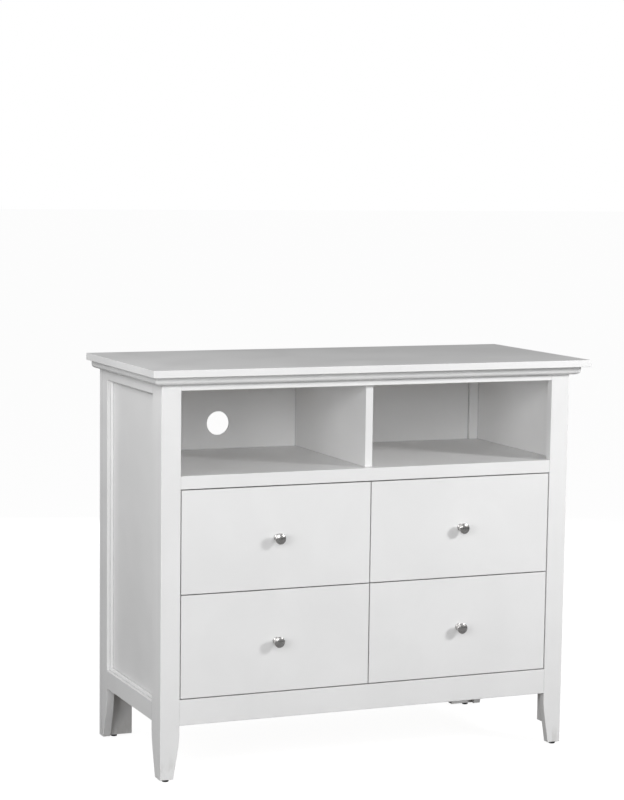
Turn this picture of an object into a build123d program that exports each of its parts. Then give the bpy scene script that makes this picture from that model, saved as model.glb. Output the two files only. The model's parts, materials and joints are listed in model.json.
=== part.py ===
from build123d import *

import os

# Media cabinet: two open bays over four drawers, on tapered L-section legs.
# Millimetres. The front faces -Y, +Z is up, and the origin is on the floor
# under the middle of the top panel.

# ---- driving dimensions -------------------------------------------------
top_width = 1067.0
top_depth = 482.0
top_thick = 16.0
height = 914.0

carcass_width = 1000.0
front_overhang = 45.0
board = 18.0            # frame boards, posts and rails
arris = 1.0             # eased edge on painted boards
top_corner_round = 2.0
top_edge_round = 1.5

moulding_high = 20.0
moulding_out = 20.0
moulding_flat = 11.0    # upright face above the quarter round
moulding_foot = 5.0     # what is left of the projection at the bottom

post_face = 45.0        # width of a front post seen from the front
post_side = 59.0        # width of a front post seen from the side
rear_side = 57.0        # width of a rear post seen from the side
rear_back = 75.0        # width of a rear post seen from behind
foot_face = 31.0        # the same four, at the foot
foot_side = 35.0
foot_rear = 28.0
taper_top = 92.0        # height at which the taper starts
taper_round = 200.0     # radius that softens the start of the taper

glide_dia = 15.0
glide_high = 5.0
glide_round = 1.5
rear_glide_in = 33.0    # rear glides sit under the back boards, clear of the corner

rail_setback = 1.0      # rails and drawer fronts stand this far behind the posts
top_rail_bottom = 865.0
apron_bottom = 124.5
apron_top = 182.0
side_rail_high = 43.0
side_rail_bottom = 127.5
back_rail_high = 60.0

drawer_gap = 2.5
front_high = 230.0
shelf_rail_high = 29.0
shelf_thick = 16.0
shelf_groove = 4.0      # how deep the divider between the bays is let into the shelf

panel_thick = 4.0       # side panels
panel_lap = 8.0         # how far a side panel runs into its frame
bead = 6.0              # bead round each side panel
bead_round = 5.0
mitre_gap = 0.1
back_thick = 5.0
back_lip = 6.0          # wood left behind the back panel in a rear post
strip_seen = 24.0       # width of rear post seen inside a bay

cable_hole_dia = 57.0
cable_hole_x = -209.0
cable_hole_z = 740.0

drawer_divider_thick = 15.0
slide_space = 13.0      # room for a slide between carcass and drawer
slide_length = 350.0
slide_high = 45.0
slide_start = 24.0      # front end of a slide behind the post faces
drawer_travel = 260.0

box_side = 12.0
box_depth = 380.0
box_high = 180.0
box_raise = 22.0        # drawer box above the bottom of its front
box_rim_round = 2.0
bottom_thick = 5.0
bottom_raise = 8.0      # drawer bottom above the bottom of the box sides
groove = 6.0

batten_high = 60.0
block_wide = 17.0
block_deep = 30.0
block_bottom = 50.0
block_top = 225.0
rear_block_bottom = 186.0
rear_block_top = 262.0
stretcher_wide = 60.0

knob_out = 24.0
knob_head = 25.0
knob_base = 16.5
knob_neck = 11.0
knob_dome = 2.0         # how far the face of a knob bulges
knob_rim = 1.8          # width of the rounded rim round that face
knob_bore_deep = 12.0
knob_screw = 4.0
knob_screw_head = 9.0
knob_screw_head_high = 2.4
knob_screw_bite = 11.0
hole_room = 0.6         # a clearance hole is this much wider than its screw
thread_room = 0.1       # a pilot hole is this much wider than its screw

# ---- derived places -----------------------------------------------------
half = carcass_width / 2
y_front = -top_depth / 2 + front_overhang
y_rear = top_depth / 2
z_under = height - top_thick
x_in = half - board                       # inner face of a side frame
x_open = half - post_face                 # edge of the drawer opening
y_behind_posts = y_front + board
y_rear_post = y_rear - board
y_panel = y_rear - back_lip - back_thick  # front face of the back panel
y_back_rail = y_rear_post - board

stretcher_top = side_rail_bottom + board

lower_z = apron_top + drawer_gap
upper_z = lower_z + front_high + drawer_gap
shelf_rail_bottom = upper_z + front_high + drawer_gap
shelf_top = shelf_rail_bottom + shelf_rail_high
shelf_under = shelf_top - shelf_thick

front_in = drawer_gap / 2                 # drawer front, inner and outer edge
front_out = x_open - drawer_gap
y_drawer = y_front + rail_setback
y_box = y_drawer + board                  # back face of a drawer front
divider_half = drawer_divider_thick / 2
box_in = divider_half + slide_space       # outer faces of a drawer box
box_out = front_out - (box_in - front_in)
batten_in = box_out + slide_space
slide_centre = box_raise + box_high / 2   # above the bottom of a drawer front
knob_x = (front_in + front_out) / 2
knob_z = front_high / 2

opening_front = y_front + post_side       # side panel opening
opening_rear = y_rear - rear_side
opening_low = side_rail_bottom + side_rail_high
opening_high = z_under - side_rail_high

SIDES = {"left": -1, "right": 1}
ROWS = {"upper": upper_z, "lower": lower_z}
GLIDE_PLACES = [(foot_face / 2, y_front + board / 2), (rear_glide_in, y_rear - board / 2)]

os.makedirs("parts", exist_ok=True)


# ---- helpers ------------------------------------------------------------
def save(piece, name):
    """Label a finished piece and write it under its node name."""
    piece.label = name
    export_step(piece, f"parts/{name}.step")


def block(x, y, z, mode=Mode.ADD):
    """Box between two limits on each axis, in the part being built."""
    with BuildSketch(Plane.XY.offset(min(z))) as footprint:
        with Locations(((x[0] + x[1]) / 2, (y[0] + y[1]) / 2)):
            Rectangle(abs(x[1] - x[0]), abs(y[1] - y[0]))
    extrude(footprint.sketch, amount=abs(z[1] - z[0]), mode=mode)


def side_panel_rebate(side):
    """Cut the step that a side panel is glued into."""
    block(
        (side * x_in, side * (x_in + panel_thick)),
        (opening_front - panel_lap, opening_rear + panel_lap),
        (opening_low - panel_lap, opening_high + panel_lap),
        mode=Mode.SUBTRACT,
    )


def round_hole(plane, centre, dia, depth):
    """Cut a round hole from a plane, along its normal."""
    with BuildSketch(plane) as mouth:
        with Locations(centre):
            Circle(dia / 2)
    extrude(mouth.sketch, amount=depth, mode=Mode.SUBTRACT)


def round_rod(plane, centre, dia, length):
    """Add a round rod from a plane, along its normal."""
    with BuildSketch(plane) as end:
        with Locations(centre):
            Circle(dia / 2)
    extrude(end.sketch, amount=length)


# ---- top panel, with pilot holes for its fixing screws -------------------
top_screw_x = [-390.0, -130.0, 130.0, 390.0]
top_screw_y = [y_front + board / 2 + 0.5, y_back_rail + board / 2]
top_screw_dia = 4.0
top_screw_bite = 11.0
top_screw_head = 8.0
top_screw_head_high = 3.0
top_screw_low = {top_screw_y[0]: z_under - 14.0, top_screw_y[1]: z_under - 30.0}

with BuildPart() as top_panel:
    block((-top_width / 2, top_width / 2), (-y_rear, y_rear), (z_under, height))
    fillet(top_panel.edges().filter_by(Axis.Z), top_corner_round)
    fillet(top_panel.faces().sort_by(Axis.Z)[-1].edges(), top_edge_round)
    fillet(top_panel.faces().sort_by(Axis.Z)[0].edges(), arris)
    for screw_y in top_screw_y:
        for screw_x in top_screw_x:
            round_hole(Plane.XY.offset(z_under), (screw_x, screw_y), top_screw_dia, top_screw_bite)
save(top_panel.part, "top_panel")


# ---- crown moulding: three lengths, mitred at the front corners ----------
def moulding_outline(out_sign, foot):
    """Section of the moulding; the first coordinate points away from the cabinet."""
    edge = foot + out_sign * moulding_out
    toe = foot + out_sign * moulding_foot
    low = z_under - moulding_high
    corner = z_under - moulding_flat
    with BuildLine() as outline:
        Polyline((toe, low), (foot, low), (foot, z_under), (edge, z_under), (edge, corner))
        EllipticalCenterArc(
            (toe, corner),
            moulding_out - moulding_foot,
            moulding_high - moulding_flat,
            start_angle=270 if out_sign > 0 else 180,
            arc_size=90,
        )
    make_face(outline.edges())


def mitre(side):
    """Keep the front moulding's half of the mitre on one side."""
    split(
        bisect_by=Plane(origin=(side * half, y_front, 0), z_dir=(-side, -1, 0)),
        keep=Keep.TOP,
    )


with BuildPart() as crown_front:
    with BuildSketch(Plane.YZ):
        moulding_outline(-1, y_front)
    extrude(amount=half + moulding_out, both=True)
    mitre(-1)
    mitre(1)
save(crown_front.part, "crown_moulding_front")

with BuildPart() as crown_sides:
    for side in SIDES.values():
        with BuildSketch(Plane.XZ.offset(-y_rear)):
            moulding_outline(side, side * half)
        extrude(amount=y_rear - y_front + moulding_out)
    for side in SIDES.values():
        with BuildSketch(Plane.XY.offset(z_under - moulding_high)):
            with BuildLine():
                Polyline(
                    (side * half, y_front),
                    (side * (half + moulding_out), y_front - moulding_out),
                    (side * half, y_front - moulding_out),
                    close=True,
                )
            make_face()
        extrude(amount=moulding_high, mode=Mode.SUBTRACT)
save(crown_sides.part, "crown_moulding_sides")


# ---- rails between the posts --------------------------------------------
def front_rail(name, bottom, top):
    with BuildPart() as rail:
        block((-x_open, x_open), (y_drawer, y_behind_posts), (bottom, top))
        fillet(rail.edges().filter_by(Axis.X).group_by(Axis.Y)[0], arris)
        if top == z_under:
            low = top_screw_low[top_screw_y[0]]
            for x in top_screw_x:
                spot = (x, top_screw_y[0])
                round_hole(Plane.XY.offset(bottom), spot, top_screw_head + hole_room, low - bottom)
                round_hole(Plane.XY.offset(low), spot, top_screw_dia, top - low)
    save(rail.part, name)


front_rail("top_front_rail", top_rail_bottom, z_under)
front_rail("shelf_front_rail", shelf_rail_bottom, shelf_top)
front_rail("front_bottom_rail", apron_bottom, apron_top)

with BuildPart() as back_rails:
    block((-x_in, x_in), (y_back_rail, y_rear_post), (z_under - back_rail_high, z_under))
    block((-x_in, x_in), (y_back_rail, y_rear_post), (side_rail_bottom, apron_top))
    low = top_screw_low[top_screw_y[1]]
    for x in top_screw_x:
        spot = (x, top_screw_y[1])
        start = z_under - back_rail_high
        round_hole(Plane.XY.offset(start), spot, top_screw_head + hole_room, low - start)
        round_hole(Plane.XY.offset(low), spot, top_screw_dia, z_under - low)
save(back_rails.part, "back_rails")

with BuildPart() as top_screws:
    for screw_y in top_screw_y:
        for screw_x in top_screw_x:
            low = top_screw_low[screw_y]
            spot = (screw_x, screw_y)
            head_plane = Plane.XY.offset(low - top_screw_head_high)
            round_rod(head_plane, spot, top_screw_head, top_screw_head_high)
            reach = z_under + top_screw_bite - 1.0 - low
            round_rod(Plane.XY.offset(low), spot, top_screw_dia - thread_room, reach)
save(top_screws.part, "top_fixing_screws")


# ---- posts and legs -----------------------------------------------------
def leg_outline(outer, inner, foot):
    """Board with a straight outer edge, and an inner edge that tapers to the foot."""
    with BuildLine() as outline:
        Polyline((inner, z_under), (outer, z_under), (outer, glide_high), (foot, glide_high))
        FilletPolyline((foot, glide_high), (inner, taper_top), (inner, z_under), radius=taper_round)
    make_face(outline.edges())


def outer_face(board_part, side):
    """The face of a side board that shows on the outside of the cabinet."""
    return board_part.faces().sort_by(Axis.X)[-1 if side > 0 else 0]


def leg_side_board(name, side, post_edge, opening_edge, foot_edge):
    with BuildPart() as leg_side:
        with BuildSketch(Plane.YZ.offset(side * x_in)):
            leg_outline(post_edge, opening_edge, foot_edge)
        extrude(amount=side * board)
        fillet(outer_face(leg_side, side).edges(), arris)
        side_panel_rebate(side)
    save(leg_side.part, name)


for side_name, side in SIDES.items():
    with BuildPart() as leg_face:
        with BuildSketch(Plane.XZ.offset(-y_front)):
            leg_outline(side * half, side * x_open, side * (half - foot_face))
        extrude(amount=-board)
        fillet(leg_face.faces().sort_by(Axis.Y)[0].edges(), arris)
    save(leg_face.part, f"{side_name}_front_leg_face")

    leg_side_board(
        f"{side_name}_front_leg_side", side, y_behind_posts, opening_front, y_front + foot_side
    )
    leg_side_board(
        f"{side_name}_rear_leg_side", side, y_rear_post, opening_rear, y_rear - foot_rear
    )

    with BuildPart() as leg_back:
        block((side * (half - rear_back), side * half), (y_rear_post, y_rear), (glide_high, z_under))
        fillet(leg_back.edges().filter_by(Axis.Z).group_by(Axis.Y)[-1], arris)
        block(
            (side * (half - rear_back), side * (x_in - strip_seen)),
            (y_rear_post, y_rear - back_lip),
            (side_rail_bottom, z_under),
            mode=Mode.SUBTRACT,
        )
    save(leg_back.part, f"{side_name}_rear_leg_back")

with BuildPart() as corner_blocks:
    for side in SIDES.values():
        across = (side * x_in, side * (x_in - block_wide))
        block(across, (y_behind_posts, y_behind_posts + block_deep), (block_bottom, block_top))
        block(across, (y_rear_post - block_deep, y_rear_post), (rear_block_bottom, rear_block_top))
save(corner_blocks.part, "leg_corner_blocks")

with BuildPart() as glides:
    for side in SIDES.values():
        for glide_in, glide_y in GLIDE_PLACES:
            round_rod(Plane.XY, (side * (half - glide_in), glide_y), glide_dia, glide_high)
    fillet(glides.edges().group_by(Axis.Z)[0], glide_round)
save(glides.part, "foot_glides")


# ---- side frames --------------------------------------------------------
def side_rails(name, bottom, top):
    with BuildPart() as rails:
        for side in SIDES.values():
            block((side * x_in, side * half), (opening_front, opening_rear), (bottom, top))
        long_edges = rails.edges().filter_by(Axis.Y).group_by(Axis.X)
        fillet(long_edges[0] + long_edges[-1], arris)
        for side in SIDES.values():
            side_panel_rebate(side)
    save(rails.part, name)


side_rails("side_top_rails", opening_high, z_under)
side_rails("side_bottom_rails", side_rail_bottom, opening_low)

for side_name, side in SIDES.items():
    with BuildPart() as side_panel:
        block(
            (side * x_in, side * (x_in + panel_thick)),
            (opening_front - panel_lap, opening_rear + panel_lap),
            (opening_low - panel_lap, opening_high + panel_lap),
        )
    save(side_panel.part, f"{side_name}_side_panel")

# Four mitred beads round each panel; a hairline keeps each mitre open.
opening_corners = [
    (opening_front, opening_low),
    (opening_rear, opening_low),
    (opening_rear, opening_high),
    (opening_front, opening_high),
]
opening_middle = ((opening_front + opening_rear) / 2, (opening_low + opening_high) / 2)


def bead_outline(start, end):
    """Mitred strip along one edge of the panel opening, from corner to corner."""
    run_y = (end[0] > start[0]) - (end[0] < start[0])
    run_z = (end[1] > start[1]) - (end[1] < start[1])
    in_y = 0 if run_y else (1 if start[0] < opening_middle[0] else -1)
    in_z = 0 if run_z else (1 if start[1] < opening_middle[1] else -1)
    hair = mitre_gap / 2
    short = bead + hair
    with BuildLine() as outline:
        Polyline(
            (start[0] + run_y * hair, start[1] + run_z * hair),
            (end[0] - run_y * hair, end[1] - run_z * hair),
            (end[0] - run_y * short + in_y * bead, end[1] - run_z * short + in_z * bead),
            (start[0] + run_y * short + in_y * bead, start[1] + run_z * short + in_z * bead),
            close=True,
        )
    make_face(outline.edges())


def is_bead_nose(edge):
    """The long free edge of a bead, which is rounded."""
    middle = edge.center()
    off_y = min(middle.Y - opening_front, opening_rear - middle.Y)
    off_z = min(middle.Z - opening_low, opening_high - middle.Z)
    at_face = abs(abs(middle.X) - (x_in + panel_thick + bead)) < 0.01
    return at_face and abs(min(off_y, off_z) - bead) < 0.01


with BuildPart() as panel_beads:
    for side in SIDES.values():
        for start, end in zip(opening_corners, opening_corners[1:] + opening_corners[:1]):
            with BuildSketch(Plane.YZ.offset(side * (x_in + panel_thick))):
                bead_outline(start, end)
            extrude(amount=side * bead)
    fillet(panel_beads.edges().filter_by(is_bead_nose), bead_round)
save(panel_beads.part, "side_panel_beads")


# ---- back, shelf and dividers --------------------------------------------
with BuildPart() as back_panel:
    reach = x_in - strip_seen - 0.5
    block((-reach, reach), (y_panel, y_panel + back_thick), (side_rail_bottom + 0.5, z_under))
    hole_plane = Plane.XZ.offset(-y_panel)
    round_hole(hole_plane, (cable_hole_x, cable_hole_z), cable_hole_dia, -back_thick)
save(back_panel.part, "back_panel")

with BuildPart() as shelf:
    block((-x_in, x_in), (y_behind_posts, y_panel), (shelf_under, shelf_top))
    for side in SIDES.values():
        block(
            (side * (x_in - strip_seen), side * x_in),
            (y_rear_post, y_panel),
            (shelf_under, shelf_top),
            mode=Mode.SUBTRACT,
        )
    block(
        (-board / 2, board / 2),
        (y_behind_posts, y_panel),
        (shelf_top - shelf_groove, shelf_top),
        mode=Mode.SUBTRACT,
    )
save(shelf.part, "shelf_panel")

with BuildPart() as bay_divider:
    with BuildSketch(Plane.YZ.offset(-board / 2)):
        with BuildLine():
            Polyline(
                (y_behind_posts, shelf_top - shelf_groove),
                (y_panel, shelf_top - shelf_groove),
                (y_panel, z_under - back_rail_high),
                (y_back_rail, z_under - back_rail_high),
                (y_back_rail, z_under),
                (y_behind_posts, z_under),
                close=True,
            )
        make_face()
    extrude(amount=board)
    fillet(bay_divider.edges().filter_by(Axis.Z).group_by(Axis.Y)[0], arris)
save(bay_divider.part, "compartment_divider")

with BuildPart() as stretcher:
    half_stretcher = stretcher_wide / 2
    block(
        (-half_stretcher, half_stretcher),
        (y_behind_posts, y_back_rail),
        (side_rail_bottom, stretcher_top),
    )
save(stretcher.part, "centre_stretcher")


# ---- drawer slides: section coordinates run from the carcass to the drawer
def slide_places(side):
    """Carcass faces that carry a slide, each with the direction to the drawer."""
    return [(side * divider_half, side), (side * batten_in, -side)]


def section(face, toward, middle_z, points):
    """Closed section in a level-cut plane, mirrored about the slide's middle."""
    upper = [(face + toward * out, middle_z + up) for out, up in points]
    lower = [(face + toward * out, middle_z - up) for out, up in reversed(points)]
    with BuildLine() as outline:
        Polyline(*upper, *lower, close=True)
    make_face(outline.edges())


slide_half = slide_high / 2
sheet = 1.2             # slide steel
race = slide_half - sheet
outer_reach = 10.5      # how far the outer member stands off the carcass
outer_lip = 1.4
outer_member = [
    (0.0, slide_half),
    (outer_reach, slide_half),
    (outer_reach, race - outer_lip),
    (outer_reach - sheet, race - outer_lip),
    (outer_reach - sheet, race),
    (sheet, race),
]
inner_half = 17.0
inner_reach = 4.0       # how close the inner member comes to the carcass
inner_member = [
    (slide_space, inner_half),
    (inner_reach, inner_half),
    (inner_reach, inner_half - sheet),
    (slide_space - sheet, inner_half - sheet),
]
ball_dia = 3.6
ball_pitch = 24.0
ball_out = 5.7          # ball centres, off the carcass and off the slide's middle
ball_up = 19.15
cage_sheet = 0.6
cage_length = 84.0
cage_back = 2.2
cage_reach = 8.6
cage_high = ball_up + cage_sheet / 2
cage_low = ball_up - cage_sheet / 2
cage_section = [
    (cage_back, cage_high),
    (cage_reach, cage_high),
    (cage_reach, cage_low),
    (cage_back + cage_sheet, cage_low),
]

slide_y = y_front + slide_start
slide_plane = Plane.XZ.offset(-slide_y)
slide_screw_y = [slide_y + 37.0, slide_y + 300.0]
slide_screw_dia = 3.5
slide_hole_dia = slide_screw_dia + thread_room
slide_screw_head = 7.0
slide_screw_head_high = 0.7
slide_screw_bite = 6.0

with BuildPart() as outer_members:
    for side in SIDES.values():
        for row_z in ROWS.values():
            for face, toward in slide_places(side):
                with BuildSketch(slide_plane):
                    section(face, toward, row_z + slide_centre, outer_member)
                extrude(amount=-slide_length)
                for screw_y in slide_screw_y:
                    round_hole(
                        Plane.YZ.offset(face),
                        (screw_y, row_z + slide_centre),
                        slide_hole_dia,
                        toward * sheet,
                    )
save(outer_members.part, "slide_outer_members")

with BuildPart() as slide_screws:
    for side in SIDES.values():
        for row_z in ROWS.values():
            for face, toward in slide_places(side):
                for screw_y in slide_screw_y:
                    spot = (screw_y, row_z + slide_centre)
                    seat = Plane.YZ.offset(face + toward * sheet)
                    round_rod(seat, spot, slide_screw_head, toward * slide_screw_head_high)
                    reach = -toward * (sheet + slide_screw_bite)
                    round_rod(seat, spot, slide_screw_dia, reach)
save(slide_screws.part, "slide_screws")


def slide_pilot_holes(faces):
    """Pilot holes for the slide screws, in the part being built."""
    for face, toward in faces:
        for row_z in ROWS.values():
            for screw_y in slide_screw_y:
                round_hole(
                    Plane.YZ.offset(face),
                    (screw_y, row_z + slide_centre),
                    slide_hole_dia,
                    -toward * slide_screw_bite,
                )


with BuildPart() as battens:
    for side in SIDES.values():
        for row_z in ROWS.values():
            middle_z = row_z + slide_centre
            block(
                (side * batten_in, side * x_in),
                (slide_y, y_rear_post),
                (middle_z - batten_high / 2, middle_z + batten_high / 2),
            )
    slide_pilot_holes([slide_places(side)[1] for side in SIDES.values()])
save(battens.part, "runner_battens")

with BuildPart() as drawer_divider:
    with BuildSketch(Plane.YZ.offset(-divider_half)):
        with BuildLine():
            Polyline(
                (slide_y, stretcher_top),
                (y_back_rail, stretcher_top),
                (y_back_rail, apron_top),
                (y_panel, apron_top),
                (y_panel, shelf_under),
                (slide_y, shelf_under),
                close=True,
            )
        make_face()
    extrude(amount=drawer_divider_thick)
    slide_pilot_holes([slide_places(side)[0] for side in SIDES.values()])
save(drawer_divider.part, "drawer_divider")


# ---- drawers --------------------------------------------------------------
def drawer_bottom_space(side, row_z, mode=Mode.ADD):
    """The drawer bottom itself, or the grooves that hold it."""
    block(
        (side * (box_in + box_side - groove), side * (box_out - box_side + groove)),
        (y_box - groove, y_box + box_depth),
        (row_z + box_raise + bottom_raise, row_z + box_raise + bottom_raise + bottom_thick),
        mode=mode,
    )


def drawer_front(name, side, row_z):
    with BuildPart() as front:
        block((side * front_in, side * front_out), (y_drawer, y_box), (row_z, row_z + front_high))
        fillet(front.faces().sort_by(Axis.Y)[0].edges(), arris)
        drawer_bottom_space(side, row_z, mode=Mode.SUBTRACT)
        screw_spot = (side * knob_x, row_z + knob_z)
        round_hole(Plane.XZ.offset(-y_drawer), screw_spot, knob_screw + hole_room, -board)
    save(front.part, name)


def drawer_sides(name, side, row_z):
    with BuildPart() as sides:
        for start in (box_in, box_out - box_side):
            block(
                (side * start, side * (start + box_side)),
                (y_box, y_box + box_depth),
                (row_z + box_raise, row_z + box_raise + box_high),
            )
        fillet(sides.edges().filter_by(Axis.Y).group_by(Axis.Z)[-1], box_rim_round)
        drawer_bottom_space(side, row_z, mode=Mode.SUBTRACT)
    save(sides.part, name)


def drawer_back(name, side, row_z):
    with BuildPart() as back:
        block(
            (side * (box_in + box_side), side * (box_out - box_side)),
            (y_box + box_depth - box_side, y_box + box_depth),
            (row_z + box_raise + bottom_raise + bottom_thick, row_z + box_raise + box_high),
        )
    save(back.part, name)


def drawer_bottom(name, side, row_z):
    with BuildPart() as bottom:
        drawer_bottom_space(side, row_z)
    save(bottom.part, name)


def knob_with_screw(name, side, row_z):
    """Turned knob on its base ring, with the machine screw that holds it."""
    spot = (side * knob_x, y_drawer, row_z + knob_z)
    screw_spot = (side * knob_x, row_z + knob_z)
    bore = knob_screw / 2
    base = knob_base / 2
    neck = knob_neck / 2
    head = knob_head / 2
    face = head - knob_rim
    shoulder = knob_out - knob_dome
    dome_radius = (face**2 + knob_dome**2) / (2 * knob_dome)
    with BuildPart() as knob:
        with BuildSketch(Plane(origin=spot, x_dir=(1, 0, 0), z_dir=(0, 0, -1))):
            with BuildLine():
                Polyline((bore, 0), (base, 0), (base, 1.6), (base - 0.8, 2.4), (neck + 0.6, 2.8))
                ThreePointArc((neck + 0.6, 2.8), (neck, 6.0), (neck + 0.7, 10.0))
                ThreePointArc((neck + 0.7, 10.0), (head - 3.4, 14.2), (head - 0.3, 17.6))
                Polyline((head - 0.3, 17.6), (head, 18.4), (head, shoulder - 2.0))
                ThreePointArc((head, shoulder - 2.0), (head - 0.5, shoulder - 0.7), (face, shoulder))
                RadiusArc((face, shoulder), (0, knob_out), -dome_radius)
                Polyline((0, knob_out), (0, knob_bore_deep), (bore, knob_bore_deep), (bore, 0))
            make_face()
        revolve(axis=Axis(spot, (0, -1, 0)))
        round_rod(Plane.XZ.offset(-y_box), screw_spot, knob_screw_head, -knob_screw_head_high)
        screw_long = board + knob_screw_bite
        round_rod(Plane.XZ.offset(-y_box), screw_spot, knob_screw - thread_room, screw_long)
    save(knob.part, name)


def slide_inner_members(name, side, row_z):
    with BuildPart() as members:
        for face, toward in slide_places(side):
            with BuildSketch(slide_plane):
                section(face, toward, row_z + slide_centre, inner_member)
            extrude(amount=-slide_length)
    save(members.part, name)


def ball_cages(name, side, row_z):
    """Pair of ball cages, each a folded strip with its balls in round holes."""
    middle_y = slide_y + slide_length - drawer_travel / 2 - cage_length / 2 - 2.0
    ball_ys = [middle_y - ball_pitch, middle_y, middle_y + ball_pitch]
    middle_z = row_z + slide_centre
    with BuildPart() as cages:
        for face, toward in slide_places(side):
            with BuildSketch(Plane.XZ.offset(-(middle_y - cage_length / 2))):
                section(face, toward, middle_z, cage_section)
            extrude(amount=-cage_length)
            ball_x = face + toward * ball_out
            for ball_y in ball_ys:
                low_plane = Plane.XY.offset(middle_z - ball_up - cage_sheet)
                round_hole(low_plane, (ball_x, ball_y), ball_dia + 0.3, 2 * (ball_up + cage_sheet))
            with Locations([(ball_x, y, middle_z + up) for y in ball_ys for up in (ball_up, -ball_up)]):
                Sphere(ball_dia / 2)
    save(cages.part, name)


for row_name, row_z in ROWS.items():
    for side_name, side in SIDES.items():
        prefix = f"{row_name}_{side_name}"
        drawer_front(f"{prefix}_drawer_front", side, row_z)
        drawer_sides(f"{prefix}_drawer_sides", side, row_z)
        drawer_back(f"{prefix}_drawer_back", side, row_z)
        drawer_bottom(f"{prefix}_drawer_bottom", side, row_z)
        knob_with_screw(f"{prefix}_knob", side, row_z)
        slide_inner_members(f"{prefix}_slide_inner_members", side, row_z)
        ball_cages(f"{prefix}_ball_cages", side, row_z)
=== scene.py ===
import json
import math

import bmesh
import bpy
from bpy.props import FloatProperty, FloatVectorProperty, IntProperty, PointerProperty
from mathutils import Matrix, Vector


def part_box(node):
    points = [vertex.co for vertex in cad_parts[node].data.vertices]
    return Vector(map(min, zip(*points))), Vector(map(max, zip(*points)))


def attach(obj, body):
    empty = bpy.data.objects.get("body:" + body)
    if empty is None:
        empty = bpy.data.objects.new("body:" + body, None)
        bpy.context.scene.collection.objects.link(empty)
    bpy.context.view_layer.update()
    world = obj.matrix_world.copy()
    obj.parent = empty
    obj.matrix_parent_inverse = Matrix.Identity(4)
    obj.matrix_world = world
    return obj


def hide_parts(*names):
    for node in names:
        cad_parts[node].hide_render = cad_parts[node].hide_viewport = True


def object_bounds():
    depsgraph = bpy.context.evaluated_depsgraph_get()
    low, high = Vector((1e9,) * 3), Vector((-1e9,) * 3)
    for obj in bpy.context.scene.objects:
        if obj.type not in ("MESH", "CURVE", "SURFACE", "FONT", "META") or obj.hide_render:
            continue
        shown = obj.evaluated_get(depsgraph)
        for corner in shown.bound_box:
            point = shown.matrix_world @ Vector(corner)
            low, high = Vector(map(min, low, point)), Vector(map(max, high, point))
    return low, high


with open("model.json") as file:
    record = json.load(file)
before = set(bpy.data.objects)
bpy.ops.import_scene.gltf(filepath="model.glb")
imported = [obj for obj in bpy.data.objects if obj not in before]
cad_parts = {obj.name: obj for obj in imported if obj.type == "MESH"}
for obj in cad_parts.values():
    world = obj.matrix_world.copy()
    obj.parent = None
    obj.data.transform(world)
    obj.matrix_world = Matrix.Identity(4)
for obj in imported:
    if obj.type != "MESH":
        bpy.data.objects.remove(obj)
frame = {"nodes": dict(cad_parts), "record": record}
CAD_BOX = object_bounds()

bl_info = {
    "name": "Painted Media Cabinet",
    "version": (1, 0, 0),
    "blender": (4, 5, 0),
    "location": "3D View > Sidebar > Media Cabinet",
    "description": "Finishes a packed media cabinet: paint, wood, metal, turned knobs, slides and a studio",
    "category": "Add Mesh",
}

MM = 0.001
WHITE = (1.0, 1.0, 1.0, 1.0)
ROWS = ("upper", "lower")
SIDES = ("left", "right")
DRAWERS = [f"{row}_{side}" for row in ROWS for side in SIDES]
SLOT_OF = {part["node"]: part["material_slot"] for part in frame["record"]["subparts"]}
BODY_OF = {node: body for body, nodes in frame["record"]["behaviour"]["bodies"].items() for node in nodes}


def slot_colour(slot):
    """The record's colour for a material slot, as a default."""
    return next(m["base_color"] for m in frame["record"]["materials"] if m["slot"] == slot)


# ---- settings ---------------------------------------------------------------
class PaintSettings(bpy.types.PropertyGroup):
    colour: FloatVectorProperty(
        name="Paint Colour",
        description="Colour of the satin paint on every board that shows",
        subtype="COLOR",
        default=(0.86, 0.86, 0.86),
        min=0.0,
        max=1.0,
    )
    worn: FloatVectorProperty(
        name="Thin Paint",
        description="Colour where an arris has rubbed thin and the primer shows through",
        subtype="COLOR",
        default=(0.70, 0.68, 0.64),
        min=0.0,
        max=1.0,
    )
    roughness: FloatProperty(
        name="Roughness", description="Middle roughness of the paint", default=0.42, min=0.0, max=1.0
    )
    ripple: FloatProperty(
        name="Ripple Size",
        description="Size of the ripples that a spray gun leaves",
        default=3.2 * MM,
        unit="LENGTH",
    )
    edge_width: FloatProperty(
        name="Thin Edge Width",
        description="Width along an arris where the paint is thin",
        default=1.3 * MM,
        unit="LENGTH",
    )
    # Painted shade: the dark colour laid into gaps, joints and inner corners, where shade falls.
    dust: FloatVectorProperty(
        name="Painted Seam Shade",
        description="Colour of the dust in gaps and joints",
        subtype="COLOR",
        default=(0.13, 0.13, 0.13),
        min=0.0,
        max=1.0,
    )
    # How far the painted seam shade reaches out of a gap or corner.
    seam_reach: FloatProperty(
        name="Seam Reach",
        description="How far out of a gap or corner the dust reaches",
        default=3.0 * MM,
        unit="LENGTH",
    )
    arris: FloatProperty(
        name="Top Edge Radius",
        description="Radius that eases the edges of the top",
        default=1.5 * MM,
        unit="LENGTH",
    )


class WoodSettings(bpy.types.PropertyGroup):
    early: FloatVectorProperty(
        name="Early Wood",
        description="Colour of the pale part of a year ring",
        subtype="COLOR",
        default=(0.72, 0.56, 0.38),
        min=0.0,
        max=1.0,
    )
    late: FloatVectorProperty(
        name="Late Wood",
        description="Colour of the dark part of a year ring",
        subtype="COLOR",
        default=(0.55, 0.38, 0.22),
        min=0.0,
        max=1.0,
    )
    ring_width: FloatProperty(
        name="Ring Width", description="Typical width of a year ring", default=7.0 * MM, unit="LENGTH"
    )


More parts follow.
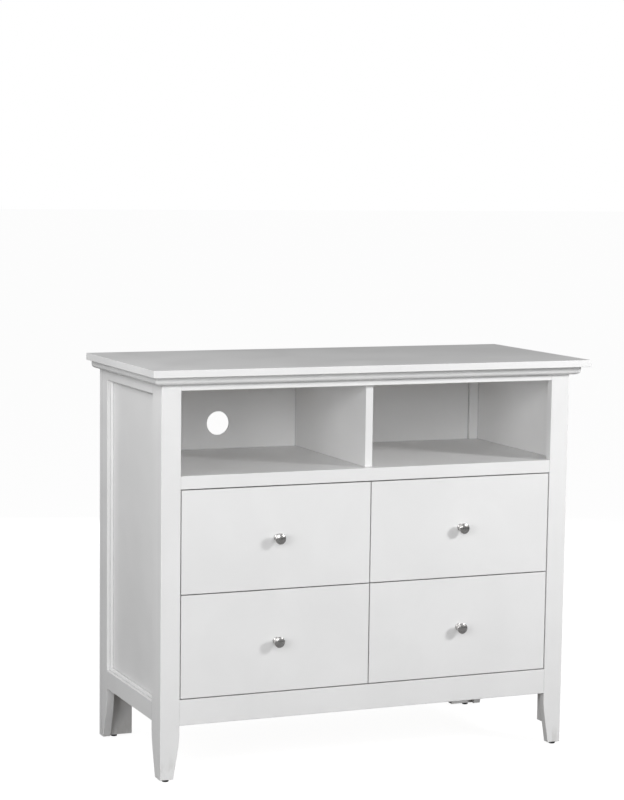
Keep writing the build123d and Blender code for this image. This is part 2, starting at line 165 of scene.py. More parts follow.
class MetalSettings(bpy.types.PropertyGroup):
    nickel: FloatVectorProperty(
        name="Nickel",
        description="Colour of the knobs",
        subtype="COLOR",
        default=(0.66, 0.65, 0.64),
        min=0.0,
        max=1.0,
    )
    zinc: FloatVectorProperty(
        name="Zinc",
        description="Colour of the slides and screws",
        subtype="COLOR",
        default=slot_colour("zinc_steel"),
        min=0.0,
        max=1.0,
    )
    knob_sides: IntProperty(name="Knob Facets", description="Faces round a turned knob", default=72, min=12)
    bend: FloatProperty(
        name="Slide Bend",
        description="Outside radius of the bends in the slide steel",
        default=1.8 * MM,
        unit="LENGTH",
    )
    gauge: FloatProperty(
        name="Slide Steel", description="Thickness of the slide steel", default=1.2 * MM, unit="LENGTH"
    )


class StudioSettings(bpy.types.PropertyGroup):
    camera_place: FloatVectorProperty(
        name="Camera Place",
        description="Where the camera stands",
        subtype="TRANSLATION",
        unit="LENGTH",
        default=(-2.08005, -4.72006, 1.34856),
    )
    camera_azimuth: FloatProperty(
        name="Camera Azimuth",
        description="How far the camera stands round to the right of the front",
        unit="ROTATION",
        default=math.radians(-22.727),
    )
    camera_elevation: FloatProperty(
        name="Camera Elevation",
        description="How steeply the camera looks down",
        unit="ROTATION",
        default=math.radians(7.048),
    )
    camera_roll: FloatProperty(
        name="Camera Roll", description="Tilt of the camera", unit="ROTATION", default=math.radians(0.692)
    )
    lens: FloatProperty(name="Lens", description="Focal length in millimetres", default=100.56)
    shift: FloatVectorProperty(
        name="Shift", description="Shift of the lens, across and up", size=2, default=(0.0198, 0.0537)
    )
    floor_colour: FloatVectorProperty(
        name="Floor Colour",
        description="Colour of the studio floor in the picture",
        subtype="COLOR",
        default=(0.2, 0.2, 0.2),
        min=0.0,
        max=1.0,
    )
    floor_bounce: FloatVectorProperty(
        name="Floor Bounce",
        description="Colour that the floor throws back on the cabinet",
        subtype="COLOR",
        default=(0.22, 0.22, 0.22),
        min=0.0,
        max=1.0,
    )
    floor_glow: FloatProperty(
        name="Floor Glow", description="How much the floor shines by itself in the picture", default=0.92
    )
    key_power: FloatProperty(
        name="Key Power", description="Small soft box at the right of the front", default=34.0, unit="POWER"
    )
    front_power: FloatProperty(
        name="Front Power", description="Wide soft box before the front", default=28.0, unit="POWER"
    )
    left_power: FloatProperty(
        name="Left Power", description="Wide soft box at the left", default=40.0, unit="POWER"
    )
    side_power: FloatProperty(
        name="Side Power", description="Soft box high on the left", default=11.0, unit="POWER"
    )
    top_power: FloatProperty(
        name="Top Power", description="Soft box above the top", default=2.0, unit="POWER"
    )
    back_power: FloatProperty(
        name="Back Power", description="Wide soft box behind", default=14.0, unit="POWER"
    )
    room_light: FloatProperty(
        name="Room Light", description="Even light from all round", default=0.2, min=0.0
    )
    backdrop_light: FloatProperty(
        name="Backdrop Light", description="How bright the bare background looks", default=1.0, min=0.0
    )


class CabinetSettings(bpy.types.PropertyGroup):
    paint: PointerProperty(type=PaintSettings)
    wood: PointerProperty(type=WoodSettings)
    metal: PointerProperty(type=MetalSettings)
    studio: PointerProperty(type=StudioSettings)


def settings():
    return bpy.context.scene.media_cabinet


# ---- shader helpers ---------------------------------------------------------
def add_node(tree, kind, links=None, values=None, **options):
    """Add a node, with links and values given by the names or numbers of its inputs."""
    made = tree.nodes.new(kind)
    for name, value in options.items():
        setattr(made, name, value)
    for name, value in (values or {}).items():
        made.inputs[name].default_value = value
    for name, source in (links or {}).items():
        tree.links.new(source, made.inputs[name])
    return made


def maths(tree, operation, *terms):
    """A Math node on sockets and numbers, which gives back its output."""
    made = add_node(tree, "ShaderNodeMath", operation=operation)
    for index, term in enumerate(terms):
        if isinstance(term, (int, float)):
            made.inputs[index].default_value = term
        else:
            tree.links.new(term, made.inputs[index])
    return made.outputs[0]


def blend_colour(tree, mask, first, second):
    """Mix two colours by a mask, each a socket or three numbers."""
    made = add_node(tree, "ShaderNodeMix", data_type="RGBA")
    tree.links.new(mask, made.inputs["Factor"])
    for name, colour in (("A", first), ("B", second)):
        slot = next(s for s in made.inputs if s.name == name and s.type == "RGBA")
        if isinstance(colour, bpy.types.NodeSocket):
            tree.links.new(colour, slot)
        else:
            slot.default_value = (*colour, 1.0)
    return next(s for s in made.outputs if s.type == "RGBA")


def remap(tree, value, low, high, to_low, to_high):
    """Stretch a value from one range to another, and hold it there."""
    limits = {"From Min": low, "From Max": high, "To Min": to_low, "To Max": to_high}
    return add_node(tree, "ShaderNodeMapRange", {"Value": value}, limits).outputs["Result"]


def noise(tree, vector, scale, detail=3.0, roughness=0.5, distortion=0.0):
    values = {"Scale": scale, "Detail": detail, "Roughness": roughness, "Distortion": distortion}
    return add_node(tree, "ShaderNodeTexNoise", {"Vector": vector}, values).outputs["Fac"]


def stretch(tree, vector, scale=(1.0, 1.0, 1.0), location=(0.0, 0.0, 0.0)):
    values = {"Scale": scale, "Location": location}
    return add_node(tree, "ShaderNodeMapping", {"Vector": vector}, values).outputs["Vector"]


def new_group(name, inputs, outputs):
    """Start a shader node group; an input is (name, kind, default), an output (name, kind)."""
    tree = bpy.data.node_groups.new(name, "ShaderNodeTree")
    for socket_name, kind, default in inputs:
        socket = tree.interface.new_socket(socket_name, in_out="INPUT", socket_type=f"NodeSocket{kind}")
        if default is not None:
            socket.default_value = default
    for socket_name, kind in outputs:
        tree.interface.new_socket(socket_name, in_out="OUTPUT", socket_type=f"NodeSocket{kind}")
    return tree, tree.nodes.new("NodeGroupInput").outputs, tree.nodes.new("NodeGroupOutput").inputs


def use_group(tree, build, links=None, values=None):
    """Place a shared effect in a material; its group is built the first time."""
    group = bpy.data.node_groups.get(build.__name__) or build()
    return add_node(tree, "ShaderNodeGroup", links, values, node_tree=group).outputs


# ---- shared effects -----------------------------------------------------------
def arris_wear_and_highlight():
    """Mask of arrises: where a rounded normal leaves the true one, broken up by noise; rubbed wear on most
    finishes, and on the knobs partly a painted highlight.
    """
    tree, given, out = new_group(
        "arris_wear_and_highlight", [("Vector", "Vector", None), ("Width", "Float", MM)], [("Mask", "Float")]
    )
    rounded = add_node(tree, "ShaderNodeBevel", {"Radius": given["Width"]}, samples=4)
    true_normal = tree.nodes.new("ShaderNodeNewGeometry").outputs["Normal"]
    lean = add_node(
        tree,
        "ShaderNodeVectorMath",
        {0: rounded.outputs["Normal"], 1: true_normal},
        operation="DOT_PRODUCT",
    )
    near = remap(tree, lean.outputs["Value"], 0.995, 0.86, 0.0, 1.0)
    patches = remap(tree, noise(tree, given["Vector"], 34.0, 5.0, 0.7), 0.42, 0.7, 0.0, 1.0)
    tree.links.new(maths(tree, "MULTIPLY", near, patches), out["Mask"])
    return tree


def painted_seam_shade():
    """Mask of painted shade: an occlusion mask, broken up by noise, that darkens gaps, joints and inner
    corners where shade falls.
    """
    tree, given, out = new_group(
        "painted_seam_shade", [("Vector", "Vector", None), ("Reach", "Float", 3 * MM)], [("Mask", "Float")]
    )
    open_share = add_node(tree, "ShaderNodeAmbientOcclusion", {"Distance": given["Reach"]}, samples=6)
    hidden = maths(tree, "SUBTRACT", 1.0, open_share.outputs["AO"])
    patches = remap(tree, noise(tree, given["Vector"], 22.0, 4.0), 0.35, 0.65, 0.8, 1.15)
    tree.links.new(maths(tree, "MULTIPLY", maths(tree, "POWER", hidden, 1.5), patches), out["Mask"])
    return tree


def spray_ripple():
    """Fine ripples of a sprayed coat, with the nibs that airborne specks leave as they settle in it."""
    tree, given, out = new_group(
        "spray_ripple", [("Vector", "Vector", None), ("Size", "Float", 3 * MM)], [("Height", "Float")]
    )
    scale = maths(tree, "DIVIDE", 1.0, given["Size"])
    ripple = add_node(
        tree, "ShaderNodeTexNoise", {"Vector": given["Vector"], "Scale": scale}, {"Detail": 2.0}
    ).outputs["Fac"]
    slow = noise(tree, given["Vector"], 26.0, 2.0)
    speck = add_node(tree, "ShaderNodeTexVoronoi", {"Vector": given["Vector"]}, {"Scale": 70.0})
    nib = remap(tree, speck.outputs["Distance"], 0.0, 0.045, 1.2, 0.0)
    height = maths(tree, "ADD", maths(tree, "MULTIPLY_ADD", slow, 0.8, ripple), nib)
    tree.links.new(height, out["Height"])
    return tree


def covered_grain():
    """Long faint hollows where the pores of a board telegraph through its paint."""
    tree, given, out = new_group("covered_grain", [("Vector", "Vector", None)], [("Height", "Float")])
    fibre = noise(tree, given["Vector"], 420.0, 3.0, 0.6, 0.3)
    broad = noise(tree, given["Vector"], 60.0, 3.0, 0.5, 1.2)
    tree.links.new(maths(tree, "MULTIPLY_ADD", broad, 0.9, fibre), out["Height"])
    return tree


def handling_marks():
    """Smudges and fine rubs: a slow mask, and short scratches that all run one way."""
    tree, given, out = new_group(
        "handling_marks", [("Vector", "Vector", None)], [("Smudge", "Float"), ("Scratch", "Float")]
    )
    cloud = noise(tree, given["Vector"], 5.5, 4.0, 0.55, 0.6)
    tree.links.new(remap(tree, cloud, 0.38, 0.72, 0.0, 1.0), out["Smudge"])
    lines = noise(tree, stretch(tree, given["Vector"], (30.0, 700.0, 260.0)), 1.0, 1.0)
    where = remap(tree, noise(tree, given["Vector"], 17.0, 2.0), 0.52, 0.66, 0.0, 1.0)
    scratch = maths(tree, "MULTIPLY", remap(tree, lines, 0.72, 0.8, 0.0, 1.0), where)
    tree.links.new(scratch, out["Scratch"])
    return tree


def year_rings():
    """Rings, pores and ray flecks of softwood whose grain runs along the vector's X."""
    tree, given, out = new_group(
        "year_rings",
        [("Vector", "Vector", None), ("Ring Width", "Float", 7 * MM)],
        [("Late", "Float"), ("Pore", "Float"), ("Tone", "Float")],
    )
    slack = noise(tree, stretch(tree, given["Vector"], (1.6, 9.0, 9.0)), 1.0, 3.0, 0.5, 0.4)
    split = add_node(tree, "ShaderNodeSeparateXYZ", {"Vector": given["Vector"]}).outputs
    away_y = maths(tree, "ADD", split["Y"], 0.31)
    away_z = maths(tree, "ADD", split["Z"], 0.17)
    squares = maths(tree, "ADD", maths(tree, "MULTIPLY", away_y, away_y), maths(tree, "POWER", away_z, 2.0))
    radius = maths(tree, "MULTIPLY_ADD", slack, 0.11, maths(tree, "SQRT", squares))
    ring = maths(tree, "FRACT", maths(tree, "DIVIDE", radius, given["Ring Width"]))
    late = maths(tree, "POWER", ring, 3.0)
    fibre = noise(tree, stretch(tree, given["Vector"], (26.0, 1500.0, 1500.0)), 1.0, 2.0, 0.6)
    pore = remap(tree, fibre, 0.60, 0.72, 0.0, 1.0)
    tone = noise(tree, stretch(tree, given["Vector"], (1.1, 6.0, 6.0)), 1.0, 2.0)
    tree.links.new(late, out["Late"])
    tree.links.new(pore, out["Pore"])
    tree.links.new(tone, out["Tone"])
    return tree


def plating():
    """Crystals, drag lines and rubs of a plated surface."""
    tree, given, out = new_group(
        "plating", [("Vector", "Vector", None)], [("Crystal", "Float"), ("Rub", "Float")]
    )
    cells = add_node(tree, "ShaderNodeTexVoronoi", {"Vector": given["Vector"]}, {"Scale": 210.0})
    tone = add_node(tree, "ShaderNodeSeparateColor", {"Color": cells.outputs["Color"]}).outputs[0]
    drag = noise(tree, stretch(tree, given["Vector"], (900.0, 14.0, 900.0)), 1.0, 2.0)
    tree.links.new(tone, out["Crystal"])
    tree.links.new(remap(tree, drag, 0.5, 0.72, 0.0, 1.0), out["Rub"])
    return tree


# ---- materials ------------------------------------------------------------------
def new_material(name):
    """A material with its Principled BSDF and Object coordinates."""
    material = bpy.data.materials.new(name)
    material.use_nodes = True
    tree = material.node_tree
    tree.nodes.clear()
    shader = add_node(tree, "ShaderNodeBsdfPrincipled")
    add_node(tree, "ShaderNodeOutputMaterial", {"Surface": shader.outputs["BSDF"]})
    coordinates = add_node(tree, "ShaderNodeTexCoord").outputs["Object"]
    return material, tree, shader, coordinates


def bump(tree, shader, height, distance, strength=1.0):
    """Raise the surface by a height, over whatever bump it already has."""
    made = add_node(tree, "ShaderNodeBump", {"Height": height}, {"Strength": strength, "Distance": distance})
    normal = shader.inputs["Normal"]
    if normal.is_linked:
        tree.links.new(normal.links[0].from_socket, made.inputs["Normal"])
    tree.links.new(made.outputs["Normal"], normal)


# Each turns a piece's own length into the pattern's X.
TURN_TO = {
    "x": (0.0, 0.0, 0.0),
    "y": (0.0, 0.0, math.radians(-90.0)),
    "z": (0.0, math.radians(90.0), 0.0),
}


def along(tree, coordinates, axis):
    """Coordinates whose X runs along a board."""
    made = add_node(tree, "ShaderNodeMapping", {"Vector": coordinates}, {"Rotation": TURN_TO[axis]})
    return made.outputs["Vector"]


def white_paint(axis):
    """Sprayed satin paint on a board whose grain runs along an axis."""
    paint = settings().paint
    material, tree, shader, coordinates = new_material(f"white_paint_{axis}")
    lengthways = along(tree, coordinates, axis)
    grain = use_group(tree, covered_grain, {"Vector": stretch(tree, lengthways, (0.05, 1.0, 1.0))})
    ripple = use_group(tree, spray_ripple, {"Vector": coordinates}, {"Size": paint.ripple})
    marks = use_group(tree, handling_marks, {"Vector": lengthways})
    edges = use_group(tree, arris_wear_and_highlight, {"Vector": coordinates}, {"Width": paint.edge_width})

    # Painted shade: an occlusion mask that darkens gaps, joints and inner corners.
    dust = use_group(tree, painted_seam_shade, {"Vector": coordinates}, {"Reach": paint.seam_reach})
    height = add_node(tree, "ShaderNodeSeparateXYZ", {"Vector": coordinates}).outputs["Z"]
    low = remap(tree, height, 0.0, 0.07, 1.0, 0.0)
    rubs = noise(tree, stretch(tree, coordinates, (60.0, 60.0, 22.0)), 1.0, 4.0)
    scuffs = remap(tree, rubs, 0.5, 0.68, 0.0, 1.0)
    scuff = maths(tree, "MULTIPLY", maths(tree, "MULTIPLY", low, scuffs), 0.35)

    shade = tuple(channel * 0.965 for channel in paint.colour)
    colour = blend_colour(tree, marks["Smudge"], tuple(paint.colour), shade)
    colour = blend_colour(tree, maths(tree, "MULTIPLY", edges["Mask"], 0.5), colour, tuple(paint.worn))
    colour = blend_colour(tree, scuff, colour, (0.42, 0.40, 0.37))
    # Painted shade laid into the seams and inner corners.
    colour = blend_colour(tree, dust["Mask"], colour, tuple(paint.dust))
    tree.links.new(colour, shader.inputs["Base Color"])

    rough = remap(tree, marks["Smudge"], 0.0, 1.0, paint.roughness + 0.04, paint.roughness - 0.07)
    rough = maths(tree, "MULTIPLY_ADD", marks["Scratch"], 0.05, rough)
    rough = maths(tree, "MULTIPLY_ADD", edges["Mask"], 0.12, rough)
    tree.links.new(rough, shader.inputs["Roughness"])
    shader.inputs["IOR"].default_value = 1.48
    bump(tree, shader, grain["Height"], 0.016 * MM)
    bump(tree, shader, ripple["Height"], 0.02 * MM)
    return material


def bare_wood(axis):
    """Sealed softwood whose grain runs along an axis."""
    wood = settings().wood
    material, tree, shader, coordinates = new_material(f"bare_wood_{axis}")
    lengthways = along(tree, coordinates, axis)
    rings = use_group(tree, year_rings, {"Vector": lengthways}, {"Ring Width": wood.ring_width})
    marks = use_group(tree, handling_marks, {"Vector": lengthways})
    edges = use_group(tree, arris_wear_and_highlight, {"Vector": coordinates}, {"Width": 0.9 * MM})
    late = maths(tree, "MULTIPLY", rings["Late"], remap(tree, rings["Tone"], 0.3, 0.7, 0.35, 0.85))
    colour = blend_colour(tree, late, tuple(wood.early), tuple(wood.late))
    pale = tuple(min(1.0, channel * 1.12) for channel in wood.early)
    colour = blend_colour(tree, remap(tree, rings["Tone"], 0.35, 0.75, 0.0, 0.5), colour, pale)
    brown = tuple(channel * 0.62 for channel in wood.late)
    colour = blend_colour(tree, maths(tree, "MULTIPLY", rings["Pore"], 0.32), colour, brown)
    colour = blend_colour(tree, maths(tree, "MULTIPLY", edges["Mask"], 0.3), colour, pale)
    tree.links.new(colour, shader.inputs["Base Color"])
    rough = maths(tree, "MULTIPLY_ADD", marks["Smudge"], 0.1, 0.48)
    rough = maths(tree, "MULTIPLY_ADD", rings["Pore"], 0.12, rough)
    tree.links.new(rough, shader.inputs["Roughness"])
    bump(tree, shader, rings["Late"], 0.03 * MM)
    bump(tree, shader, maths(tree, "SUBTRACT", 1.0, rings["Pore"]), 0.05 * MM)
    return material


def turned_nickel():
    """Brushed nickel with the fine rings that turning leaves round each knob's axis."""
    material, tree, shader, coordinates = new_material("turned_nickel")
    spots = [knob_spot(drawer) for drawer in DRAWERS]
    column = max(spot.x for spot in spots)
    low = min(spot.z for spot in spots)
    pitch = max(spot.z for spot in spots) - low
    split = add_node(tree, "ShaderNodeSeparateXYZ", {"Vector": coordinates}).outputs
    off_x = maths(tree, "SUBTRACT", maths(tree, "ABSOLUTE", split["X"]), column)
    # Both rows fold on to the lower one.
    off_z = maths(tree, "PINGPONG", maths(tree, "SUBTRACT", split["Z"], low), pitch / 2)
    radius = maths(
        tree, "SQRT", maths(tree, "ADD", maths(tree, "POWER", off_x, 2.0), maths(tree, "POWER", off_z, 2.0))
    )
    rings = add_node(
        tree,
        "ShaderNodeTexNoise",
        {"W": maths(tree, "MULTIPLY_ADD", split["Y"], 0.7, radius)},
        {"Scale": 6500.0, "Detail": 2.0},
        noise_dimensions="1D",
    ).outputs["Fac"]
    marks = use_group(tree, handling_marks, {"Vector": stretch(tree, coordinates, (6.0, 6.0, 6.0))})
    edges = use_group(tree, arris_wear_and_highlight, {"Vector": coordinates}, {"Width": 0.5 * MM})
    nickel = tuple(settings().metal.nickel)
    dull = tuple(channel * 0.9 for channel in nickel)
    # Partly rubbed wear and partly a painted highlight: the colour is lightened along the knobs' rims and
    # arrises.
    bright = tuple(min(1.0, channel * 1.2) for channel in nickel)
    colour = blend_colour(tree, marks["Smudge"], nickel, dull)
    colour = blend_colour(tree, edges["Mask"], colour, bright)
    tree.links.new(colour, shader.inputs["Base Color"])
    shader.inputs["Metallic"].default_value = 1.0
    rough = remap(tree, rings, 0.3, 0.7, 0.17, 0.26)
    rough = maths(tree, "MULTIPLY_ADD", marks["Smudge"], 0.07, rough)
    tree.links.new(rough, shader.inputs["Roughness"])
    bump(tree, shader, rings, 0.004 * MM)
    return material


def plated_steel():
    """Zinc-plated steel, rubbed along its length where it slides."""
    zinc = tuple(settings().metal.zinc)
    material, tree, shader, coordinates = new_material("plated_steel")
    plate = use_group(tree, plating, {"Vector": coordinates})
    marks = use_group(tree, handling_marks, {"Vector": coordinates})
    edges = use_group(tree, arris_wear_and_highlight, {"Vector": coordinates}, {"Width": 0.4 * MM})
    dark = tuple(channel * 0.8 for channel in zinc)
    blue = (zinc[0] * 0.93, zinc[1] * 0.98, min(1.0, zinc[2] * 1.06))
    colour = blend_colour(tree, plate["Crystal"], zinc, blue)
    colour = blend_colour(tree, maths(tree, "MULTIPLY", marks["Smudge"], 0.5), colour, dark)
    colour = blend_colour(tree, maths(tree, "MULTIPLY", edges["Mask"], 0.5), colour, (0.8, 0.8, 0.8))
    tree.links.new(colour, shader.inputs["Base Color"])
    shader.inputs["Metallic"].default_value = 1.0
    rough = remap(tree, plate["Crystal"], 0.0, 1.0, 0.32, 0.44)
    rough = maths(tree, "MULTIPLY_ADD", plate["Rub"], -0.09, rough)
    tree.links.new(rough, shader.inputs["Roughness"])
    bump(tree, shader, plate["Rub"], 0.006 * MM)
    return material


def moulded_plastic():
    """Moulded plastic with a fine spark-eroded skin, rubbed grey."""
    material, tree, shader, coordinates = new_material("moulded_plastic")
    marks = use_group(tree, handling_marks, {"Vector": stretch(tree, coordinates, (3.0, 3.0, 3.0))})
    edges = use_group(tree, arris_wear_and_highlight, {"Vector": coordinates}, {"Width": 0.6 * MM})
    base = slot_colour("black_plastic")
    colour = blend_colour(tree, marks["Smudge"], base, tuple(channel * 1.9 for channel in base))
    colour = blend_colour(tree, maths(tree, "MULTIPLY", edges["Mask"], 0.6), colour, (0.16, 0.16, 0.16))
    tree.links.new(colour, shader.inputs["Base Color"])
    rough = maths(tree, "MULTIPLY_ADD", marks["Smudge"], 0.12, 0.5)
    tree.links.new(rough, shader.inputs["Roughness"])
    bump(tree, shader, noise(tree, coordinates, 2600.0, 2.0), 0.02 * MM)
    return material


def finish_for(slot, axis="x"):
    """The material for a slot, built the first time; boards also have a grain axis."""
    boards = {"white_paint": white_paint, "bare_wood": bare_wood}
    if slot in boards:
        return bpy.data.materials.get(f"{slot}_{axis}") or boards[slot](axis)
    others = {"satin_nickel": turned_nickel, "zinc_steel": plated_steel, "black_plastic": moulded_plastic}
    build = others[slot]
    return bpy.data.materials.get(build.__name__) or build()


# ---- modelling helpers --------------------------------------------------------
def clear_selection():
    bpy.ops.object.select_all(action="DESELECT")


def select_only(*pieces):
    clear_selection()
    for piece in pieces:
        piece.select_set(True)
    bpy.context.view_layer.objects.active = pieces[0]


def bake_place():
    """Move the active piece's place, turn and size into its mesh."""
    bpy.ops.object.transform_apply(location=True, rotation=True, scale=True)


def block(low, high):
    """Box blank between two corners, as the active object."""
    clear_selection()
    low, high = Vector(low), Vector(high)
    bpy.ops.mesh.primitive_cube_add(size=1.0, location=(low + high) / 2, scale=high - low)
    bake_place()
    return bpy.context.object


def edit(piece):
    """Enter edit mode on one piece with nothing selected."""
    select_only(piece)
    bpy.ops.object.mode_set(mode="EDIT")
    bpy.ops.mesh.select_all(action="DESELECT")


def leave_edit():
    bpy.ops.object.mode_set(mode="OBJECT")


def pick_edges(piece, test):
    """Select the edges whose two ends pass a test."""
    bpy.ops.mesh.select_mode(type="EDGE")
    mesh = bmesh.from_edit_mesh(piece.data)
    for edge in mesh.edges:
        edge.select_set(test(*(vertex.co for vertex in edge.verts)))
    bmesh.update_edit_mesh(piece.data)


def pick_faces(piece, test):
    """Select the faces whose middle and normal pass a test."""
    bpy.ops.mesh.select_mode(type="FACE")
    mesh = bmesh.from_edit_mesh(piece.data)
    for face in mesh.faces:
        face.select_set(test(face.calc_center_median(), face.normal))
    bmesh.update_edit_mesh(piece.data)


def all_outward(piece):
    """Merge doubles and turn every face outwards."""
    edit(piece)
    bpy.ops.mesh.select_all(action="SELECT")
    bpy.ops.mesh.remove_doubles(threshold=0.005 * MM)
    bpy.ops.mesh.normals_make_consistent(inside=False)
    leave_edit()


def apply_modifier(piece, kind, **options):
    select_only(piece)
    made = piece.modifiers.new(kind.lower(), kind)
    for name, value in options.items():
        setattr(made, name, value)
    bpy.ops.object.modifier_apply(modifier=made.name)


def cut_away(piece, cutter):
    """Subtract a cutter from a piece and throw the cutter away."""
    apply_modifier(piece, "BOOLEAN", operation="DIFFERENCE", solver="EXACT", object=cutter)
    mesh = cutter.data
    bpy.data.objects.remove(cutter)
    bpy.data.meshes.remove(mesh)


def join(pieces):
    select_only(*pieces)
    bpy.ops.object.join()
    return pieces[0]


def copy_to(piece, shift, mirrored=False):
    """Copy of a piece with its own mesh, moved, and mirrored across X if asked."""
    twin = piece.copy()
    twin.data = piece.data.copy()
    bpy.context.collection.objects.link(twin)
    select_only(twin)
    twin.scale.x = -1.0 if mirrored else 1.0
    twin.location = shift
    bake_place()
    if mirrored:
        all_outward(twin)
    return twin


def turned(spot, out, outline, sides):
    """Lathe-turned solid: rings of (distance along the axis, radius), drawn out one by one."""
    clear_selection()
    first_out, first_radius = outline[0]
    facing = Vector(out).to_track_quat("Z", "Y").to_euler()
    start = Vector(spot) + first_out * Vector(out)
    bpy.ops.mesh.primitive_circle_add(
        vertices=sides, radius=first_radius, fill_type="NGON", location=start, rotation=facing
    )
    bake_place()
    piece = bpy.context.object
    edit(piece)
    bpy.ops.mesh.select_all(action="SELECT")
    last_out, last_radius = outline[0]
    for ring_out, radius in outline[1:]:
        step = (ring_out - last_out) * Vector(out)
        bpy.ops.mesh.extrude_region_move(TRANSFORM_OT_translate={"value": step})
        centre = Vector(spot) + ring_out * Vector(out)
        share = radius / last_radius
        bpy.ops.transform.resize(value=(share, share, share), center_override=centre)
        last_out, last_radius = ring_out, radius
    leave_edit()
    all_outward(piece)
    return piece


def curve(start, pull, end, steps):
    """Points after the start on a curve that leaves and arrives along its pull point."""
    found = []
    for step in range(1, steps + 1):
        t = step / steps
        found.append(
            tuple((1 - t) ** 2 * a + 2 * t * (1 - t) * b + t * t * c for a, b, c in zip(start, pull, end))
        )
    return found


def hand_over(piece, name, body, slot, replaces=(), axis="x", smooth=35.0):
    """Name a finished piece, smooth it, give it its finish, and let it ride on its body."""
    piece.name = name
    piece.data.name = name
    select_only(piece)
    bpy.ops.object.shade_smooth_by_angle(angle=math.radians(smooth))
    piece.data.materials.clear()
    piece.data.materials.append(finish_for(slot, axis))
    if replaces:
        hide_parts(*replaces)
    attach(piece, body)
    return piece


def middle_of(node):
    low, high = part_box(node)
    return (low + high) / 2


# ---- sizes read from the frame ------------------------------------------------
def knob_spot(drawer):
    """Middle of a knob's foot, on the face of its drawer front."""
    middle = middle_of(f"{drawer}_knob")
    return Vector((middle.x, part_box(f"{drawer}_drawer_front")[0].y, middle.z))


def slide_faces(drawer):
    """Each slide of a drawer: the carcass face it stands on, and the way to the drawer."""
    side_low, side_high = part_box(f"{drawer}_drawer_sides")
    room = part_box("drawer_divider")[1].x
    space = min(abs(side_low.x), abs(side_high.x)) - room
    return [(side_low.x - space, 1.0), (side_high.x + space, -1.0)]


# ---- operators ----------------------------------------------------------------
class MEDIACABINET_OT_studio(bpy.types.Operator):
    """Pale floor, six soft boxes, even room light and the camera"""

    bl_idname = "media_cabinet.studio"
    bl_label = "Studio"

    def execute(self, context):
        studio = settings().studio
        clear_selection()
        bpy.ops.mesh.primitive_plane_add(size=120.0)
        floor = context.object
        floor.name = "studio_floor"
        material, tree, shader, _ = new_material("studio_floor")
        shader.inputs["Roughness"].default_value = 0.8
        seen = add_node(tree, "ShaderNodeLightPath").outputs["Is Camera Ray"]
        colour = blend_colour(tree, seen, tuple(studio.floor_bounce), tuple(studio.floor_colour))
        tree.links.new(colour, shader.inputs["Base Color"])
        shader.inputs["Emission Color"].default_value = WHITE
        tree.links.new(maths(tree, "MULTIPLY", seen, studio.floor_glow), shader.inputs["Emission Strength"])
        floor.data.materials.append(material)

        self.soft_box("key_soft_box", 45.0, 24.0, 2.8, (0.5, 0.5), studio.key_power)
        self.soft_box("front_soft_box", -14.0, 20.0, 3.2, (1.8, 1.2), studio.front_power)
        self.soft_box("left_soft_box", -52.0, 13.0, 3.8, (1.8, 1.4), studio.left_power)
        self.soft_box("side_soft_box", -84.0, 38.0, 2.1, (1.0, 1.0), studio.side_power)
        self.soft_box("top_soft_box", 60.0, 75.0, 2.3, (1.0, 1.0), studio.top_power)
        self.soft_box("back_soft_box", 162.0, 0.0, 3.4, (2.0, 0.5), studio.back_power)
        self.room(studio)
        self.camera(studio)
        context.scene.view_settings.view_transform = "Standard"
        return {"FINISHED"}

    def soft_box(self, name, azimuth, elevation, distance, size, power):
        """Rectangular lamp that looks at the cabinet's middle, from an angle in degrees."""
        around, above = math.radians(azimuth), math.radians(elevation)
        back = Vector(
            (math.sin(around) * math.cos(above), -math.cos(around) * math.cos(above), math.sin(above))
        )
        clear_selection()
        target = (CAD_BOX[0] + CAD_BOX[1]) / 2
        bpy.ops.object.light_add(type="AREA", location=target + distance * back)
        lamp = bpy.context.object
        lamp.name = name
        lamp.rotation_euler = back.to_track_quat("Z", "Y").to_euler()
        lamp.data.shape = "RECTANGLE"
        lamp.data.size, lamp.data.size_y = size
        lamp.data.energy = power
        return lamp

    def room(self, studio):
        world = bpy.data.worlds.new("studio_world")
        bpy.context.scene.world = world
        world.use_nodes = True
        tree = world.node_tree
        tree.nodes.clear()
        seen = add_node(tree, "ShaderNodeLightPath").outputs["Is Camera Ray"]
        strength = remap(tree, seen, 0.0, 1.0, studio.room_light, studio.backdrop_light)
        background = add_node(tree, "ShaderNodeBackground", {"Strength": strength}, {"Color": WHITE})
        add_node(tree, "ShaderNodeOutputWorld", {"Surface": background.outputs[0]})

    def camera(self, studio):
        clear_selection()
        bpy.ops.object.camera_add(location=studio.camera_place)
        camera = bpy.context.object
        camera.name = "studio_camera"
        turn = (
            Matrix.Rotation(studio.camera_azimuth, 4, "Z")
            @ Matrix.Rotation(math.radians(90.0) - studio.camera_elevation, 4, "X")
            @ Matrix.Rotation(studio.camera_roll, 4, "Z")
        )
        camera.rotation_euler = turn.to_euler()
        camera.data.lens = studio.lens
        camera.data.sensor_width = 36.0
        camera.data.shift_x, camera.data.shift_y = studio.shift
        camera.data.clip_end = 200.0
        bpy.context.scene.camera = camera


class MEDIACABINET_OT_boards(bpy.types.Operator):
    """Paint, wood and metal on every carried-over piece, with the grain along its length"""

    bl_idname = "media_cabinet.boards"
    bl_label = "Finish the Boards"

    def execute(self, context):
        for name, piece in frame["nodes"].items():
            piece.data.materials.clear()
            piece.data.materials.append(finish_for(SLOT_OF[name], self.grain_axis(name)))
        return {"FINISHED"}

    def grain_axis(self, name):
        """Boards have their grain along their length; panels stand with it upright."""
        if "leg" in name or name.endswith("side_panel") or name == "back_panel":
            return "z"
        low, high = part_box(name)
        if name.startswith("side_") or name.endswith(("_drawer_sides", "battens", "stretcher", "_sides")):
            return "y"
        return "x" if high.x - low.x > high.y - low.y else "y"


